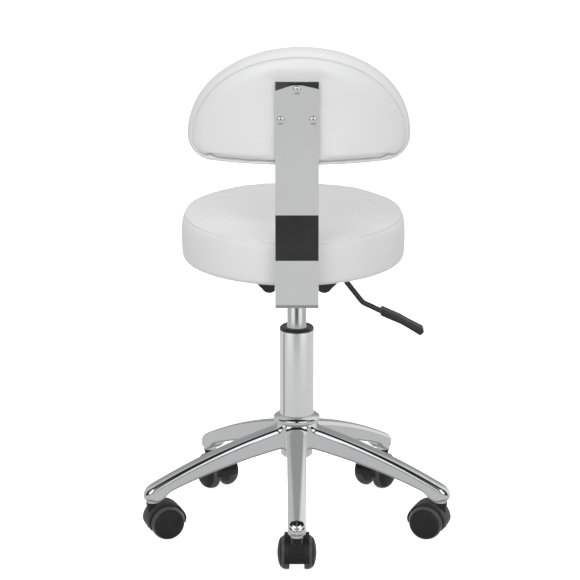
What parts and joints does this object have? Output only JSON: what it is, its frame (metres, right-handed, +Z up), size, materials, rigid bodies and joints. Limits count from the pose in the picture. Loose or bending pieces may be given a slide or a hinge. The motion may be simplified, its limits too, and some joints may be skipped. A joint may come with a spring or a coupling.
{
  "type": "rolling stylist stool",
  "caption": "Rolling stylist stool with a round padded seat, half-moon backrest on a bent flat bar, gas lift with side lever and a star base on twin-wheel casters.",
  "frame": {"origin": "on the floor, under the swivel axis", "axes": "+Z up along the gas lift; +Y towards the backrest; -X towards the height lever"},
  "size_m": [0.4548, 0.4354, 0.757],
  "materials": {
    "base_chrome": "bright plated casting",
    "column_satin": "satin plated tube",
    "cylinder_chrome": "bright plated cylinder",
    "bar_steel": "polished flat bar",
    "plated_steel": "zinc plated",
    "black_paint": "semi-gloss black",
    "black_plastic": "fine satin moulding",
    "caster_plastic": "satin nylon",
    "wheel_plastic": "moulded nylon",
    "tread_grey": "worn soft tread",
    "rubber_black": "moulded",
    "plywood": "raw birch plywood",
    "foam": "cut upholstery foam",
    "white_vinyl": "smooth upholstery vinyl"
  },
  "bodies": {
    "base": {"star_base": "base_chrome", "column_tube": "column_satin", "guide_bush": "black_plastic", "thrust_washer_lower": "plated_steel", "thrust_balls": "plated_steel", "caster_stems": "plated_steel", "grip_rings": "plated_steel"},
    "rod": {"piston_rod": "cylinder_chrome", "piston_head": "plated_steel", "thrust_washer_upper": "plated_steel", "rod_buffer": "rubber_black", "rod_clip": "plated_steel"},
    "seat": {"gas_cylinder": "cylinder_chrome", "seat_plate": "black_paint", "seat_board": "plywood", "seat_foam": "foam", "seat_cover": "white_vinyl", "seat_bolts": "plated_steel", "seat_tee_nuts": "plated_steel", "backrest_bar": "bar_steel", "bar_plate": "black_plastic", "backrest_board": "plywood", "backrest_foam": "foam", "backrest_cover": "white_vinyl", "back_screws": "plated_steel", "back_tee_nuts": "plated_steel", "lever_pin": "plated_steel"},
    "lever": {"lever_rod": "black_paint", "lever_paddle": "black_plastic"},
    "valve": {"valve_button": "plated_steel"},
    "caster_1": {"caster_hood_1": "caster_plastic", "caster_axle_1": "plated_steel"},
    "wheel_1a": {"wheel_core_1a": "wheel_plastic", "wheel_tread_1a": "tread_grey"},
    "wheel_1b": {"wheel_core_1b": "wheel_plastic", "wheel_tread_1b": "tread_grey"},
    "caster_2": {"caster_hood_2": "caster_plastic", "caster_axle_2": "plated_steel"},
    "wheel_2a": {"wheel_core_2a": "wheel_plastic", "wheel_tread_2a": "tread_grey"},
    "wheel_2b": {"wheel_core_2b": "wheel_plastic", "wheel_tread_2b": "tread_grey"},
    "caster_3": {"caster_hood_3": "caster_plastic", "caster_axle_3": "plated_steel"},
    "wheel_3a": {"wheel_core_3a": "wheel_plastic", "wheel_tread_3a": "tread_grey"},
    "wheel_3b": {"wheel_core_3b": "wheel_plastic", "wheel_tread_3b": "tread_grey"},
    "caster_4": {"caster_hood_4": "caster_plastic", "caster_axle_4": "plated_steel"},
    "wheel_4a": {"wheel_core_4a": "wheel_plastic", "wheel_tread_4a": "tread_grey"},
    "wheel_4b": {"wheel_core_4b": "wheel_plastic", "wheel_tread_4b": "tread_grey"},
    "caster_5": {"caster_hood_5": "caster_plastic", "caster_axle_5": "plated_steel"},
    "wheel_5a": {"wheel_core_5a": "wheel_plastic", "wheel_tread_5a": "tread_grey"},
    "wheel_5b": {"wheel_core_5b": "wheel_plastic", "wheel_tread_5b": "tread_grey"}
  },
  "joints": [
    {"name": "seat_swivel", "type": "hinge", "parent": "base", "child": "rod", "pos_m": [0, 0, 0.11], "axis": [0, 0, 1], "continuous": true},
    {"name": "seat_lift", "type": "slide", "parent": "rod", "child": "seat", "axis": [0, 0, 1], "range_m": [-0.05, 0.08]},
    {"name": "lever_lift", "type": "hinge", "parent": "seat", "child": "lever", "pos_m": [-0.036, 0, 0.4022], "axis": [0, 1, 0], "range_deg": [0, 5], "stiffness_Nm_per_rad": 1.5, "springref_deg": -3.44},
    {"name": "valve_press", "type": "slide", "parent": "seat", "child": "valve", "axis": [0, 0, -1], "range_m": [0, 0.0034], "stiffness_N_per_m": 300, "springref_m": -0.002},
    {"name": "caster_swivel_1", "type": "hinge", "parent": "base", "child": "caster_1", "pos_m": [0, 0.223, 0.045], "axis": [0, 0, 1], "continuous": true},
    {"name": "wheel_spin_1a", "type": "hinge", "parent": "caster_1", "child": "wheel_1a", "pos_m": [0, 0.204, 0.025], "axis": [-1, 0, 0], "continuous": true},
    {"name": "wheel_spin_1b", "type": "hinge", "parent": "caster_1", "child": "wheel_1b", "pos_m": [0, 0.204, 0.025], "axis": [-1, 0, 0], "continuous": true},
    {"name": "caster_swivel_2", "type": "hinge", "parent": "base", "child": "caster_2", "pos_m": [-0.21209, 0.06891, 0.045], "axis": [0, 0, 1], "continuous": true},
    {"name": "wheel_spin_2a", "type": "hinge", "parent": "caster_2", "child": "wheel_2a", "pos_m": [-0.19402, 0.06304, 0.025], "axis": [-0.309, -0.9511, 0], "continuous": true},
    {"name": "wheel_spin_2b", "type": "hinge", "parent": "caster_2", "child": "wheel_2b", "pos_m": [-0.19402, 0.06304, 0.025], "axis": [-0.309, -0.9511, 0], "continuous": true},
    {"name": "caster_swivel_3", "type": "hinge", "parent": "base", "child": "caster_3", "pos_m": [-0.13108, -0.18041, 0.045], "axis": [0, 0, 1], "continuous": true},
    {"name": "wheel_spin_3a", "type": "hinge", "parent": "caster_3", "child": "wheel_3a", "pos_m": [-0.11991, -0.16504, 0.025], "axis": [0.809, -0.5878, 0], "continuous": true},
    {"name": "wheel_spin_3b", "type": "hinge", "parent": "caster_3", "child": "wheel_3b", "pos_m": [-0.11991, -0.16504, 0.025], "axis": [0.809, -0.5878, 0], "continuous": true},
    {"name": "caster_swivel_4", "type": "hinge", "parent": "base", "child": "caster_4", "pos_m": [0.13108, -0.18041, 0.045], "axis": [0, 0, 1], "continuous": true},
    {"name": "wheel_spin_4a", "type": "hinge", "parent": "caster_4", "child": "wheel_4a", "pos_m": [0.11991, -0.16504, 0.025], "axis": [0.809, 0.5878, 0], "continuous": true},
    {"name": "wheel_spin_4b", "type": "hinge", "parent": "caster_4", "child": "wheel_4b", "pos_m": [0.11991, -0.16504, 0.025], "axis": [0.809, 0.5878, 0], "continuous": true},
    {"name": "caster_swivel_5", "type": "hinge", "parent": "base", "child": "caster_5", "pos_m": [0.21209, 0.06891, 0.045], "axis": [0, 0, 1], "continuous": true},
    {"name": "wheel_spin_5a", "type": "hinge", "parent": "caster_5", "child": "wheel_5a", "pos_m": [0.19402, 0.06304, 0.025], "axis": [-0.309, 0.9511, 0], "continuous": true},
    {"name": "wheel_spin_5b", "type": "hinge", "parent": "caster_5", "child": "wheel_5b", "pos_m": [0.19402, 0.06304, 0.025], "axis": [-0.309, 0.9511, 0], "continuous": true}
  ],
  "couplings": [
    {"joint": "valve_press", "follows": "lever_lift", "m_per_rad": 0.038}
  ]
}
